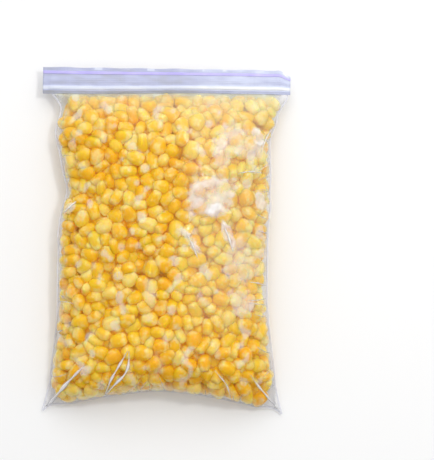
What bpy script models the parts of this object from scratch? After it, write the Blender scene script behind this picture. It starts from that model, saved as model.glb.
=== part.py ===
"""A clear press-seal bag full of sweetcorn kernels, lying on its back.

Metres, +Z up. The zip end points to +Y, the width runs along X, and the origin
is on the surface that the bag lies on, under the middle of its box.
"""

import math

import bmesh
import bpy

# Driving sizes
FLAT_WIDTH = 0.200          # across the zip, where the bag is still flat
LAID_LENGTH = 0.281         # lip edge to the bottom corner tips, as it lies
FILLED_HEIGHT = 0.050       # thickness of the full bag
BODY_WIDTH = 0.172          # the filled part, drawn in by its contents

# Film and welds
FILM = 0.0004               # wall of a film panel
GAP = 0.0003                # clearance between touching pieces
WELD_WIDTH = 0.0025
WELD_HEIGHT = 0.0009
FILL_CLEARANCE = 0.0006     # contents to the inside of the film

# Zip
BAND_HEIGHT = 0.0195        # lip edge down to the lower edge of the zip band
BAND_Z = 0.0140             # height of the band's middle plane
TAPE = 0.0005               # wall of a zip tape
TRACK_DEPTH = 0.0022        # room between the tapes for the closed zip
TRACK_FROM_LIP = 0.0140     # lip edge to the middle of the zip track
TRACK_WIDTH = 0.0034
TRACK_WALL = 0.0007         # jaws of the female track
TRACK_FLOOR = 0.0005        # its base
TRACK_HOOK = 0.0004         # lip of each jaw, inwards and in height
TRACK_BASE_GAP = 0.0004     # open jaws to the base of the male track
LIP_SLOPE = 0.0040          # length over which the tapes close towards the lip
ZIP_END_WIDTH = 0.0040      # crushed end of the zip at each side weld
ZIP_END_HEIGHT = 0.0016
PULL_LINE_FROM_LIP = 0.0030
PULL_LINE_WIDTH = 0.0016
PULL_LINE_HEIGHT = 0.0004

# Pillow shape
SHOULDER_LENGTH = 0.024     # below the zip, where the sides draw in
FLARE_START = 0.095         # above the corner tips, where the sides spread again
FLARE_END = 0.032
BOTTOM_BOW = 0.019          # how far the bottom weld bows in at its middle
BOW_POWER = 2.6
SEAM_Z = 0.0200             # side weld above the surface, at mid length
SEAM_CLIMB = 0.42           # share of the length over which it climbs to that
SEAM_DROP = 0.28            # and over which it drops again to the zip
CORNER_Z = 0.0030           # bottom corners, which droop to the surface
CORNER_POWER = 3.0          # how near the corners the droop stays
BOTTOM_WELD_Z = 0.0110      # middle of the bottom weld
ZIP_RISE = 0.062            # length over which the bag thickens from the zip
BOTTOM_RISE = 0.046         # and from the bottom weld
RISE_POWER = 2.2            # roundness of both rises
DOME_POWER = 2.5            # squareness of the top, 2 is an ellipse
SOLE_FLATNESS = 1.35        # how much of the underside lies flat
SOLE_RISE = 0.034

# Mesh
ACROSS = 26
ALONG = 30

HALF_FILM = FLAT_WIDTH / 2 - WELD_WIDTH - GAP
HALF_BODY = BODY_WIDTH / 2 - WELD_WIDTH - GAP
LIP_Y = LAID_LENGTH / 2
BAND_Y = LIP_Y - BAND_HEIGHT
TIP_Y = -LAID_LENGTH / 2 + WELD_WIDTH + GAP


def smooth(t):
    """0 to 1 with level ends."""
    t = min(max(t, 0.0), 1.0)
    return t * t * (3 - 2 * t)


def rise(distance, length):
    """Rounded rise from 0 at an end of the bag to 1, a given length away."""
    t = min(max(distance / length, 0.0), 1.0)
    return math.sqrt(1 - (1 - t) ** RISE_POWER)


def station_y(x, v):
    """Y of a point at x, with v from 0 at the bottom weld to 1 at the zip band."""
    bow = BOTTOM_BOW * (1 - min(abs(x) / HALF_FILM, 1.0) ** BOW_POWER)
    low = TIP_Y + bow
    return low + v * (BAND_Y - GAP - low)


def half_width(v):
    """Half the width of the film panels at station v."""
    y = station_y(HALF_BODY, v)
    shoulder = smooth((y - (BAND_Y - SHOULDER_LENGTH)) / SHOULDER_LENGTH)
    flare = smooth((TIP_Y + FLARE_START - y) / (FLARE_START - FLARE_END))
    return HALF_BODY + (HALF_FILM - HALF_BODY) * max(shoulder, flare)


def seam_z(x, v):
    """Height of the plane in which front and back film meet."""
    side = min(abs(x) / half_width(v), 1.0) ** CORNER_POWER
    low = BOTTOM_WELD_Z + (CORNER_Z - BOTTOM_WELD_Z) * side
    up = smooth(v / SEAM_CLIMB)
    down = smooth((v - 1 + SEAM_DROP) / SEAM_DROP)
    return low + (SEAM_Z - low) * up + (BAND_Z - SEAM_Z) * down


def crown(x, v):
    """Height of the front film above the seam plane, on the middle line of station v."""
    y = station_y(x, v)
    above = rise(BAND_Y - y, ZIP_RISE) * rise(y - station_y(x, 0.0), BOTTOM_RISE)
    return max(FILLED_HEIGHT - seam_z(x, v) - FILM - GAP / 2, 0.0) * above


def sole(x, v):
    """Share of the seam height by which the back film sinks at station v."""
    y = station_y(x, v)
    ends = rise(BAND_Y - y, SOLE_RISE) * rise(y - station_y(x, 0.0), SOLE_RISE)
    return SOLE_FLATNESS * ends


def front_point(i, j, inset, lift):
    """Point on the front film: inset narrows it, lift raises it off the seam plane."""
    v = j / ALONG
    angle = math.pi * i / ACROSS
    across = math.copysign(abs(math.cos(angle)) ** (2 / DOME_POWER), -math.cos(angle))
    x = (half_width(v) - inset) * across
    dome = math.sin(angle)
    return (x, station_y(x, v), seam_z(x, v) + lift + crown(x, v) * dome)


def back_point(i, j, inset, drop):
    """Point on the back film, which flattens where it rests on the surface."""
    v = j / ALONG
    angle = math.pi * i / ACROSS
    across = math.copysign(abs(math.cos(angle)) ** (2 / DOME_POWER), -math.cos(angle))
    x = (half_width(v) - inset) * across
    seam = seam_z(x, v)
    sunk = min(sole(x, v) * math.sin(angle), 1.0)
    deepest = seam - GAP / 2 - FILM
    return (x, station_y(x, v), seam - drop - deepest * sunk)


def material(name, color, roughness, alpha=1.0):
    """Principled material with one colour and roughness."""
    made = bpy.data.materials.new(name)
    made.use_nodes = True
    shader = made.node_tree.nodes["Principled BSDF"]
    shader.inputs["Base Color"].default_value = (*color, 1.0)
    shader.inputs["Roughness"].default_value = roughness
    shader.inputs["Metallic"].default_value = 0.0
    shader.inputs["Alpha"].default_value = alpha
    return made


def add_object(name, mesh_builder, finish):
    """One named object from a bmesh, with its faces turned outwards."""
    bm = bmesh.new()
    mesh_builder(bm)
    bmesh.ops.recalc_face_normals(bm, faces=bm.faces)
    bmesh.ops.triangulate(bm, faces=bm.faces)
    mesh = bpy.data.meshes.new(name)
    bm.to_mesh(mesh)
    bm.free()
    obj = bpy.data.objects.new(name, mesh)
    bpy.context.scene.collection.objects.link(obj)
    obj.data.materials.append(finish)
    obj.data.shade_smooth()
    obj.data.set_sharp_from_angle(angle=math.radians(40))
    return obj


def shell(bm, outer, inner):
    """Closed wall between two grids of points of the same size."""
    rows, cols = len(outer), len(outer[0])
    out = [[bm.verts.new(p) for p in row] for row in outer]
    inn = [[bm.verts.new(p) for p in row] for row in inner]
    for r in range(rows - 1):
        for c in range(cols - 1):
            bm.faces.new((out[r][c], out[r][c + 1], out[r + 1][c + 1], out[r + 1][c]))
            bm.faces.new((inn[r][c], inn[r + 1][c], inn[r + 1][c + 1], inn[r][c + 1]))
    for r in range(rows - 1):
        bm.faces.new((out[r][0], out[r + 1][0], inn[r + 1][0], inn[r][0]))
        bm.faces.new((out[r + 1][-1], out[r][-1], inn[r][-1], inn[r + 1][-1]))
    for c in range(cols - 1):
        bm.faces.new((out[0][c + 1], out[0][c], inn[0][c], inn[0][c + 1]))
        bm.faces.new((out[-1][c], out[-1][c + 1], inn[-1][c + 1], inn[-1][c]))


def loft(bm, loops):
    """Closed solid through a row of loops with the same number of points."""
    rings = [[bm.verts.new(p) for p in loop] for loop in loops]
    count = len(loops[0])
    for low, high in zip(rings, rings[1:]):
        for k in range(count):
            n = (k + 1) % count
            bm.faces.new((low[k], low[n], high[n], high[k]))
    bm.faces.new(rings[0])
    bm.faces.new(rings[-1])


def bar(bm, outline, x_low, x_high):
    """Profile in the YZ plane, drawn out along X."""
    loft(bm, [[(x, y, z) for y, z in outline] for x in (x_low, x_high)])


def build_front_film(finish):
    def grids(bm):
        outer = [[front_point(i, j, 0.0, GAP / 2 + FILM) for i in range(ACROSS + 1)]
                 for j in range(ALONG + 1)]
        inner = [[front_point(i, j, FILM, GAP / 2) for i in range(ACROSS + 1)]
                 for j in range(ALONG + 1)]
        shell(bm, outer, inner)
    return add_object("front_film", grids, finish)


def build_back_film(finish):
    def grids(bm):
        outer = [[back_point(i, j, 0.0, GAP / 2 + FILM) for i in range(ACROSS + 1)]
                 for j in range(ALONG + 1)]
        inner = [[back_point(i, j, FILM, GAP / 2) for i in range(ACROSS + 1)]
                 for j in range(ALONG + 1)]
        shell(bm, outer, inner)
    return add_object("back_film", grids, finish)


def build_kernel_fill(finish):
    """The kernels as one body: what fits between the two films."""
    inset = FILM + FILL_CLEARANCE

    def loops(bm):
        rings = []
        for j in range(1, ALONG):
            top, under = [], []
            for i in range(ACROSS + 1):
                x, y, z = front_point(i, j, inset, GAP / 2)
                plane = seam_z(x, j / ALONG)
                share = math.sin(math.pi * i / ACROSS)
                top.append((x, y, z - (FILL_CLEARANCE + GAP / 2) * share
                            - GAP / 2 * (1 - share)))
                if 0 < i < ACROSS:
                    x, y, z = back_point(i, j, inset, GAP / 2)
                    sunk = min(sole(x, j / ALONG) * share, 1.0)
                    under.append((x, y, min(z + (FILL_CLEARANCE + GAP / 2) * sunk, plane)))
            rings.append(top + under[::-1])
        loft(bm, rings)
    return add_object("kernel_fill", loops, finish)


def build_side_weld(name, side, finish):
    """Flat weld bead along one side, outside the film panels."""
    def strip(bm):
        loops = []
        for j in range(ALONG + 1):
            v = j / ALONG
            x_in = half_width(v) + GAP
            x_out = x_in + WELD_WIDTH
            y = station_y(half_width(v), v)
            z = seam_z(half_width(v), v)
            half = WELD_HEIGHT / 2
            loops.append([(side * x_in, y, z - half), (side * x_out, y, z - half),
                          (side * x_out, y, z + half), (side * x_in, y, z + half)])
        loft(bm, loops)
    return add_object(name, strip, finish)


def build_bottom_weld(finish):
    """Flat weld bead along the bottom, bowed in at its middle."""
    reach = half_width(0.0)

    def strip(bm):
        loops = []
        for i in range(ACROSS + 1):
            x = -reach + 2 * reach * i / ACROSS
            y = station_y(x, 0.0) - GAP
            z = seam_z(x, 0.0)
            half = WELD_HEIGHT / 2
            loops.append([(x, y - WELD_WIDTH, z - half), (x, y, z - half),
                          (x, y, z + half), (x, y - WELD_WIDTH, z + half)])
        loft(bm, loops)
    return add_object("bottom_weld", strip, finish)


def tape_outline(side):
    """Section of one zip tape; side is 1 for the front tape and -1 for the back."""
    apart = GAP / 2 + TRACK_DEPTH / 2
    together = GAP / 2
    track_top = LIP_Y - TRACK_FROM_LIP + TRACK_WIDTH
    inner = [(BAND_Y, apart), (track_top, apart), (track_top + LIP_SLOPE, together),
             (LIP_Y, together)]
    outer = [(y, z + TAPE) for y, z in inner]
    return [(y, BAND_Z + side * z) for y, z in inner + outer[::-1]]


def build_zip(tape_finish, track_finish, line_finish):
    """Both tapes, the closed track between them, and the coloured pull line."""
    reach = FLAT_WIDTH / 2 - ZIP_END_WIDTH - GAP
    track_y = LIP_Y - TRACK_FROM_LIP
    half = TRACK_WIDTH / 2
    room = TRACK_DEPTH / 2 - GAP / 2            # from the middle plane to a track's back
    wall = TRACK_WALL
    hook = TRACK_HOOK
    floor = room - TRACK_FLOOR
    depth = room - TRACK_BASE_GAP

    add_object("front_zip_tape", lambda bm: bar(bm, tape_outline(1), -reach, reach), tape_finish)
    add_object("back_zip_tape", lambda bm: bar(bm, tape_outline(-1), -reach, reach), tape_finish)

    channel = [(-half, room), (-half, -depth), (-half + wall + hook, -depth),
               (-half + wall + hook, -depth + hook), (-half + wall, -depth + hook),
               (-half + wall, floor), (half - wall, floor), (half - wall, -depth + hook),
               (half - wall - hook, -depth + hook), (half - wall - hook, -depth),
               (half, -depth), (half, room)]
    add_object("zip_channel",
               lambda bm: bar(bm, [(track_y + y, BAND_Z + z) for y, z in channel], -reach, reach),
               track_finish)

    stem = half - wall - hook - GAP
    head = half - wall - GAP
    shoulder = -depth + hook + GAP
    tip = floor - GAP
    under = -depth - GAP
    rib = [(-half, -room), (half, -room), (half, under), (stem, under), (stem, shoulder),
           (head, shoulder), (0.0, tip), (-head, shoulder), (-stem, shoulder),
           (-stem, under), (-half, under)]
    add_object("zip_rib",
               lambda bm: bar(bm, [(track_y + y, BAND_Z + z) for y, z in rib], -reach, reach),
               track_finish)

    line_y = LIP_Y - PULL_LINE_FROM_LIP
    line_z = BAND_Z + GAP / 2 + TAPE + GAP
    half_line = PULL_LINE_WIDTH / 2
    line = [(line_y - half_line, line_z), (line_y + half_line, line_z),
            (line_y + half_line, line_z + PULL_LINE_HEIGHT),
            (line_y - half_line, line_z + PULL_LINE_HEIGHT)]
    add_object("pull_line", lambda bm: bar(bm, line, -reach, reach), line_finish)


def build_zip_end(name, side, finish):
    """Flattened end of the zip, where the side weld crosses it."""
    x_out = FLAT_WIDTH / 2
    x_in = x_out - ZIP_END_WIDTH
    half = ZIP_END_HEIGHT / 2
    block = [(BAND_Y, BAND_Z - half), (LIP_Y, BAND_Z - half),
             (LIP_Y, BAND_Z + half), (BAND_Y, BAND_Z + half)]
    return add_object(name, lambda bm: bar(bm, block, min(side * x_in, side * x_out),
                                           max(side * x_in, side * x_out)), finish)


def main():
    for obj in list(bpy.data.objects):
        bpy.data.objects.remove(obj)

    build_kernel_fill(material("kernels", (0.93, 0.62, 0.10), 0.45))
    build_front_film(material("front_film", (0.93, 0.94, 0.96), 0.12, alpha=0.3))
    build_back_film(material("back_film", (0.93, 0.94, 0.96), 0.12, alpha=0.3))
    build_side_weld("left_side_weld", -1, material("left_weld", (0.80, 0.81, 0.86), 0.25))
    build_side_weld("right_side_weld", 1, material("right_weld", (0.80, 0.81, 0.86), 0.25))
    build_bottom_weld(material("bottom_weld", (0.80, 0.81, 0.86), 0.25))
    build_zip(material("zip_tape", (0.78, 0.80, 0.92), 0.25),
              material("zip_track", (0.86, 0.88, 0.97), 0.20),
              material("pull_line", (0.52, 0.46, 0.90), 0.35))
    build_zip_end("left_zip_end", -1, material("left_zip_end", (0.80, 0.82, 0.93), 0.25))
    build_zip_end("right_zip_end", 1, material("right_zip_end", (0.80, 0.82, 0.93), 0.25))


main()
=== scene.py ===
import math
import bmesh
import bpy
import numpy as np
from mathutils import Matrix, Vector
from mathutils.bvhtree import BVHTree


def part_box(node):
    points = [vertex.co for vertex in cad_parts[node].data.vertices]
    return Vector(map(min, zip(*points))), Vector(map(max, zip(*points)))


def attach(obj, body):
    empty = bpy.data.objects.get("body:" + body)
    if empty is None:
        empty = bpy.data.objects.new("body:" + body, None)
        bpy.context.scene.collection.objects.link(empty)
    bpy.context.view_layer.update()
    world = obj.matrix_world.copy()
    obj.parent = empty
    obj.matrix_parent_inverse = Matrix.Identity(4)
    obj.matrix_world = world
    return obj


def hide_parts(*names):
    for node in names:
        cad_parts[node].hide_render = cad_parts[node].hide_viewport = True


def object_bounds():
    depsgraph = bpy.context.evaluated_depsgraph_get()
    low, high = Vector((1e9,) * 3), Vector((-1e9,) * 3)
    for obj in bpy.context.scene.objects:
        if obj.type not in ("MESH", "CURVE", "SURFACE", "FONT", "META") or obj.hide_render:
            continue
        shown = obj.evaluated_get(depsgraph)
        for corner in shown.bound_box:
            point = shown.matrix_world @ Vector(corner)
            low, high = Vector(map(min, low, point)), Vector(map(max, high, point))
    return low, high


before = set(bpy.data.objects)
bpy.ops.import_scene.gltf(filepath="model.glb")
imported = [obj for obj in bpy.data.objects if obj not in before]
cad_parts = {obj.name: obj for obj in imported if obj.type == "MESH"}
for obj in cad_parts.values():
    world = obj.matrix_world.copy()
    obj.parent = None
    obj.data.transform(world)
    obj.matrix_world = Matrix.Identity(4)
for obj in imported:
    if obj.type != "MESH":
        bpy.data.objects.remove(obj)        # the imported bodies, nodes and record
cadLow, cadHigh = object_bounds()
filmLow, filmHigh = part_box("front_film")
zipLow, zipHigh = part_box("front_zip_tape")
print("frame loaded")

# where the bag lies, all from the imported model
bagPlace = {
    "lipY": zipHigh.y,
    "bandY": zipLow.y,
    "bandZ": (zipLow.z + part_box("back_zip_tape")[1].z) / 2,
    "tipY": filmLow.y,
    "halfFilm": filmHigh.x,
    "halfFlat": cadHigh.x,
    "topZ": cadHigh.z,
}

# the shape the contents give the bag
pillow = {
    "halfBody": 0.0832,        # half width of the filled part
    "shoulder": 0.026,         # draws in below the zip over this length on the right
    "leftShoulder": 0.015,     # and more sharply on the left, by this share and power
    "leftPull": 0.80,
    "leftPower": 1.6,
    "flareFrom": 0.098,        # widens below this height above the corner tips
    "flareTo": 0.010,
    "flareShare": 0.62,
    "cornerLength": 0.024,     # and comes to a point over this length
    "cornerPower": 1.5,
    "ear": 0.0062,             # corner tips hang below the bottom edge
    "earPower": 22.0,
    "bow": 0.0118,             # bottom edge bows in at its middle
    "bowReach": 0.78,
    "bowPower": 1.6,
    "seamZ": 0.0200,           # height of the side welds
    "cornerZ": 0.0030,
    "weldZ": 0.0105,
    "climb": 0.42,             # shares of the length where the side welds climb and drop
    "dropFrom": 0.72,
    "drop": 0.28,
    "waves": (0.0011, 92),     # height and pace of their waves
    "zipRise": 0.060,          # lengths over which the bag thickens
    "bottomRise": 0.038,
    "risePower": 2.2,
    "domePower": 2.6,
    "flatSole": 1.35,          # how flat it lies
    "soleRise": 0.032,
    # swellings and pinches of each side: along the bag, outwards, spread
    "leftBumps": ((0.088, 0.0050, 0.015), (0.041, -0.0050, 0.014), (-0.028, 0.0016, 0.034),
                  (0.005, 0.0010, 0.008)),
    "rightBumps": ((0.098, 0.0046, 0.008), (0.055, 0.0012, 0.022), (-0.014, -0.0004, 0.034),
                   (0.030, 0.0014, 0.008)),
}


def smooth(t):
    t = np.clip(t, 0.0, 1.0)
    return t * t * (3 - 2 * t)


def rise(distance, length):
    t = np.clip(distance / length, 0.0, 1.0)
    return np.sqrt(np.maximum(1 - (1 - t) ** pillow["risePower"], 0.0))


def lowEdge(x):        # y of the bottom edge at x
    share = np.minimum(np.abs(x) / bagPlace["halfFilm"], 1.0)
    bow = 1 - np.minimum(share / pillow["bowReach"], 1.0) ** pillow["bowPower"]
    return bagPlace["tipY"] + pillow["bow"] * bow + pillow["ear"] * (1 - share ** pillow["earPower"])


def swellings(y, rows):
    return sum(out * np.exp(-((y - at) / spread) ** 2) for at, out, spread in rows)


def halfWidth(y, isRight):        # of the film at y, on one side
    inner, outer = pillow["halfBody"], bagPlace["halfFilm"]
    below = np.maximum(bagPlace["bandY"] - y, 0)
    sharp = np.maximum(1 - below / pillow["leftShoulder"], 0) ** pillow["leftPower"]
    shoulder = np.where(isRight, smooth(1 - below / pillow["shoulder"]), pillow["leftPull"] * sharp)
    above = np.maximum(y - bagPlace["tipY"], 0)
    flare = smooth((pillow["flareFrom"] - above) / (pillow["flareFrom"] - pillow["flareTo"]))
    point = np.maximum(1 - above / pillow["cornerLength"], 0) ** pillow["cornerPower"]
    flare = flare + (1 - pillow["flareShare"]) * (point - flare)
    widen = np.maximum(shoulder, flare)
    swell = np.where(isRight, swellings(y, pillow["rightBumps"]), swellings(y, pillow["leftBumps"]))
    return inner + (outer - inner) * widen + swell * (1 - widen ** 2)


def seamHeight(x, y):        # of the plane where the front film meets the back film
    v = (y - lowEdge(x)) / (bagPlace["bandY"] - lowEdge(x))
    side = np.minimum(np.abs(x) / halfWidth(y, x > 0), 1.0) ** 3
    low = pillow["weldZ"] + (pillow["cornerZ"] - pillow["weldZ"]) * side
    up = smooth(v / pillow["climb"])
    down = smooth((v - pillow["dropFrom"]) / pillow["drop"])
    tall, pace = pillow["waves"]
    wave = tall * np.sin(y * pace + np.where(x > 0, 1.3, 0.2)) * side * up * (1 - down)
    return low + (pillow["seamZ"] - low) * up + (bagPlace["bandZ"] - pillow["seamZ"]) * down + wave


def crownHeight(x, y):        # front film above the seam plane, on the middle line
    above = rise(bagPlace["bandY"] - y, pillow["zipRise"])
    above = above * rise(y - lowEdge(x), pillow["bottomRise"])
    return (bagPlace["topZ"] - 0.0012 - seamHeight(0 * x, y)) * above


def soleShare(x, y):
    return pillow["flatSole"] * rise(bagPlace["bandY"] - y, pillow["soleRise"]) \
        * rise(y - lowEdge(x), pillow["soleRise"])


def wallHeights(x, y, inset):        # of the front and the back film over a point
    half = halfWidth(y, x > 0) - inset
    reach = np.abs(x) / half
    dome = np.sqrt(np.maximum(1 - reach ** pillow["domePower"], 0.0))
    seam = seamHeight(x, y)
    beyond = np.maximum(np.abs(x) - half, 0) + np.maximum(lowEdge(x) + inset - y, 0) \
        + np.maximum(y - bagPlace["bandY"] + inset, 0)
    front = seam + np.maximum(crownHeight(x, y) * dome - inset, -0.002) - 3 * beyond
    back = seam - seam * np.minimum(soleShare(x, y) * dome, 1.0) + inset + 3 * beyond
    return front, back


def topEdge(x):        # where the film meets the zip's tapes
    return bandPoint(x, zipSettings["height"], 0.0)[..., 1]


def filmGrid(across, along, isFront):        # points of a whole film panel
    angle = np.pi * np.arange(across + 1) / across
    reach = -np.sign(np.cos(angle)) * np.abs(np.cos(angle)) ** (2 / pillow["domePower"])
    share = np.linspace(0, 1, along + 1)
    v, u = np.meshgrid(share, reach, indexing="ij")
    dome = np.sin(angle)[None, :]
    y = bagPlace["tipY"] + v * (bagPlace["bandY"] - bagPlace["tipY"])
    for _ in range(10):        # the bottom edge bows, so x and y settle together
        x = u * halfWidth(y, u > 0)
        y = lowEdge(x) + v * (topEdge(x) - lowEdge(x))
    seam = seamHeight(x, y)
    if isFront:
        z = seam + 0.00015 + crownHeight(x, y) * dome
    else:
        z = np.maximum(seam - 0.00015 - seam * np.minimum(soleShare(x, y) * dome, 1.0), 0.00025)
    points = np.stack([x, y, z], axis=-1)
    # the last row slips in between the zip's tapes
    points[-1] = bandPoint(x[-1], zipSettings["height"] - 0.0004, 0.0003 if isFront else -0.0003)
    return points


def gridNormals(points):
    du = np.gradient(points, axis=1)
    dv = np.gradient(points, axis=0)
    normals = np.cross(du, dv)
    return normals / np.maximum(np.linalg.norm(normals, axis=-1, keepdims=True), 1e-12)


kernelSettings = {
    "seed": 11,
    "spacing": 0.01052,        # of the lattice they start from
    "jitter": 0.0022,
    "steps": 190,
    # balls that stand for a kernel while they press together: along, across, radius
    "balls": ((0.0019, 0.0019, 0.0031), (0.0019, -0.0019, 0.0031), (-0.0026, 0.0, 0.0026)),
    "inset": 0.0008,
    "edge": 0.0004,            # kept free along the welds
    "fillHalf": 0.0905,        # the contents reach no further to each side
    "belowZip": 0.0010,        # clearances, while they press and at the last nudge
    "clearZip": 0.0008,
    "aboveSole": 0.0010,
    "clearWeld": (0.0005, 0.0006),
    "room": 0.0017,            # they start this far from the films
    "near": 0.0096,            # balls this close may touch
    "slopeStep": 0.0004,       # over which the films' slope is felt
    "deepest": 0.003,
    # how strongly a step moves a kernel off the films, off the edges, as a whole, and turns it
    "offFilm": 1.6,
    "offEdge": 0.8,
    "shift": 1.25,
    "spin": 0.6,
    "mostSpin": 0.35,
    "squeezed": 0.0008,        # left out past this, and where the bag is thinner by the next
    "thinner": 0.0012,
    "halfShape": 0.53,         # half a kernel's size, and a little over
    "press": 1.10,             # they bed into each other this much
    "sizes": (1.10, 1.34),
    "sides": 8,
    # a kernel's outline: share of its length, share of its width
    "rings": ((0.00, 0.42), (0.05, 0.58), (0.24, 0.82), (0.48, 0.97), (0.72, 0.98), (0.89, 0.79),
              (0.975, 0.45)),
    "tipAt": -0.525,
    "crownAt": 0.48,
    # length, width, thickness, squareness, dent in the crown and lean of each kind
    "kinds": (
        (0.0102, 0.0094, 0.0072, 2.1, 0.0001, 0.0),
        (0.0108, 0.0088, 0.0068, 2.2, 0.0, 0.0007),
        (0.0098, 0.0099, 0.0074, 2.0, 0.0004, -0.0005),
        (0.0098, 0.0091, 0.0082, 2.0, 0.0, 0.0003),
        (0.0104, 0.0092, 0.0070, 2.4, 0.0004, 0.0004),
    ),
}


def kernelMesh(name, kind):        # a tooth: narrow cut tip, wide rounded crown
    length, width, thick, square, dent, lean = kind
    rings, sides = kernelSettings["rings"], kernelSettings["sides"]
    points, along = [], []
    for share, wide in rings:
        for k in range(sides):
            angle = 2 * math.pi * (k + 0.5) / sides
            c, s = math.cos(angle), math.sin(angle)
            px = math.copysign(abs(c) ** (2 / square), c) * width / 2 * wide
            py = math.copysign(abs(s) ** (2 / square), s) * thick / 2 * (0.25 + 0.75 * wide)
            points.append((length * (share - 0.52), px, py + lean * math.sin(share * math.pi)))
            along.append(share)
    faces = []
    for r in range(len(rings) - 1):
        for k in range(sides):
            n = (k + 1) % sides
            low, high = r * sides, (r + 1) * sides
            faces.append((low + k, low + n, high + n, high + k))
    tip, crown = len(points), len(points) + 1
    points.append((length * kernelSettings["tipAt"], 0.0, 0.0))
    points.append((length * kernelSettings["crownAt"] - dent, 0.0, 0.0))
    along += [0.0, 1.0]
    last = (len(rings) - 1) * sides
    for k in range(sides):
        n = (k + 1) % sides
        faces.append((tip, n, k))
        faces.append((crown, last + k, last + n))
    mesh = bpy.data.meshes.new(name)
    mesh.from_pydata(points, [], faces)
    mesh.attributes.new("along", "FLOAT", "POINT").data.foreach_set("value", along)
    mesh.update()
    return mesh


def nearPairs(points, reach):        # index pairs of points closer than reach
    cell = np.floor((points - points.min(0)) / reach).astype(np.int64)
    size = cell.max(0) + 3
    key = cell[:, 0] + size[0] * (cell[:, 1] + size[1] * cell[:, 2])
    order = np.argsort(key, kind="stable")
    ranked = key[order]
    firsts, seconds = [], []
    for dz in (-1, 0, 1):
        for dy in (-1, 0, 1):
            for dx in (-1, 0, 1):
                step = dx + size[0] * (dy + size[1] * dz)
                if step < 0:
                    continue
                start = np.searchsorted(ranked, key + step, "left")
                count = np.searchsorted(ranked, key + step, "right") - start
                a = np.repeat(np.arange(len(points)), count)
                offset = np.arange(count.sum()) - np.repeat(np.cumsum(count) - count, count)
                b = order[np.repeat(start, count) + offset]
                keep = (a < b) if step == 0 else np.ones(len(a), bool)
                firsts.append(a[keep])
                seconds.append(b[keep])
    a, b = np.concatenate(firsts), np.concatenate(seconds)
    keep = ((points[a] - points[b]) ** 2).sum(1) < reach * reach
    return a[keep], b[keep]


def turned(spin):        # rotation matrices from small rotation vectors
    angle = np.linalg.norm(spin, axis=1)
    axis = spin / np.maximum(angle, 1e-9)[:, None]
    x, y, z = axis.T
    c, s = np.cos(angle), np.sin(angle)
    t = 1 - c
    return np.stack([
        np.stack([t * x * x + c, t * x * y - s * z, t * x * z + s * y], -1),
        np.stack([t * x * y + s * z, t * y * y + c, t * y * z - s * x], -1),
        np.stack([t * x * z - s * y, t * y * z + s * x, t * z * z + c], -1)], -2)


def startingPlaces(rng):        # a jittered lattice inside the bag
    step = kernelSettings["spacing"]
    xs = np.arange(-bagPlace["halfFlat"], bagPlace["halfFlat"], step)
    ys = np.arange(bagPlace["tipY"], bagPlace["bandY"], step * math.sqrt(3) / 2)
    zs = np.arange(0, bagPlace["topZ"], step * math.sqrt(2 / 3))
    place = []
    for k, z in enumerate(zs):
        for j, y in enumerate(ys):
            for x in xs:
                place.append((x + step / 2 * ((j + k) % 2), y + step / 3 * (k % 2), z))
    place = np.array(place) + rng.normal(0, kernelSettings["jitter"], (len(place), 3))
    front, back = wallHeights(place[:, 0], place[:, 1], kernelSettings["inset"])
    room = kernelSettings["room"]
    return place[(place[:, 2] < front - room) & (place[:, 2] > back + room)]


def pushApart(centre, radius, a, b, move, hits):        # kernels that touch
    gap = centre[b] - centre[a]
    far = np.maximum(np.linalg.norm(gap, axis=1), 1e-9)
    deep = np.maximum(radius[a] + radius[b] - far, 0)
    push = gap * (deep / far * 0.5)[:, None]
    for axis in range(3):
        move[:, axis] += np.bincount(b, push[:, axis], len(centre))
        move[:, axis] -= np.bincount(a, push[:, axis], len(centre))
    hits += np.bincount(a[deep > 0], minlength=len(centre))
    hits += np.bincount(b[deep > 0], minlength=len(centre))
    return deep


def pushOffFilms(centre, radius, move, hits):        # gives how thick the bag is at each ball
    x, y, z = centre.T
    inset, nudge = kernelSettings["inset"], kernelSettings["slopeStep"]
    front, back = wallHeights(x, y, inset)
    frontX, backX = wallHeights(x + nudge, y, inset)
    frontY, backY = wallHeights(x, y + nudge, inset)
    for wall, wallX, wallY, way in ((front, frontX, frontY, 1), (back, backX, backY, -1)):
        slopeX = np.clip((wallX - wall) / nudge, -4, 4)
        slopeY = np.clip((wallY - wall) / nudge, -4, 4)
        steep = np.sqrt(1 + slopeX ** 2 + slopeY ** 2)
        spare = kernelSettings["aboveSole"] if way < 0 else 0.0
        into = np.minimum((wall - z) * way / steep - radius - spare, 0)
        into = np.maximum(into, -kernelSettings["deepest"])
        normal = np.stack([-slopeX, -slopeY, np.ones_like(z)], -1) / steep[:, None] * way
        move += normal * into[:, None] * kernelSettings["offFilm"]
        hits += into < 0
    return front - back


def pushOffEdges(centre, radius, move, hits):        # gives how far each ball is past the welds or the zip
    x, y, z = centre.T
    edge, strength = kernelSettings["edge"], kernelSettings["offEdge"]
    half = np.minimum(halfWidth(y, x > 0) - edge, kernelSettings["fillHalf"])
    over = np.maximum(np.abs(x) + radius - half, 0)
    move[:, 0] -= np.sign(x) * over * strength
    low = np.maximum(lowEdge(x) + edge + radius - y, 0)
    high = np.maximum(y + radius + kernelSettings["belowZip"] - topEdge(x), 0)
    move[:, 1] += (low - high) * strength
    hits += (over > 0) * 1.0 + (low > 0) + (high > 0)
    return np.maximum(np.maximum(over, low), high)


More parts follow.
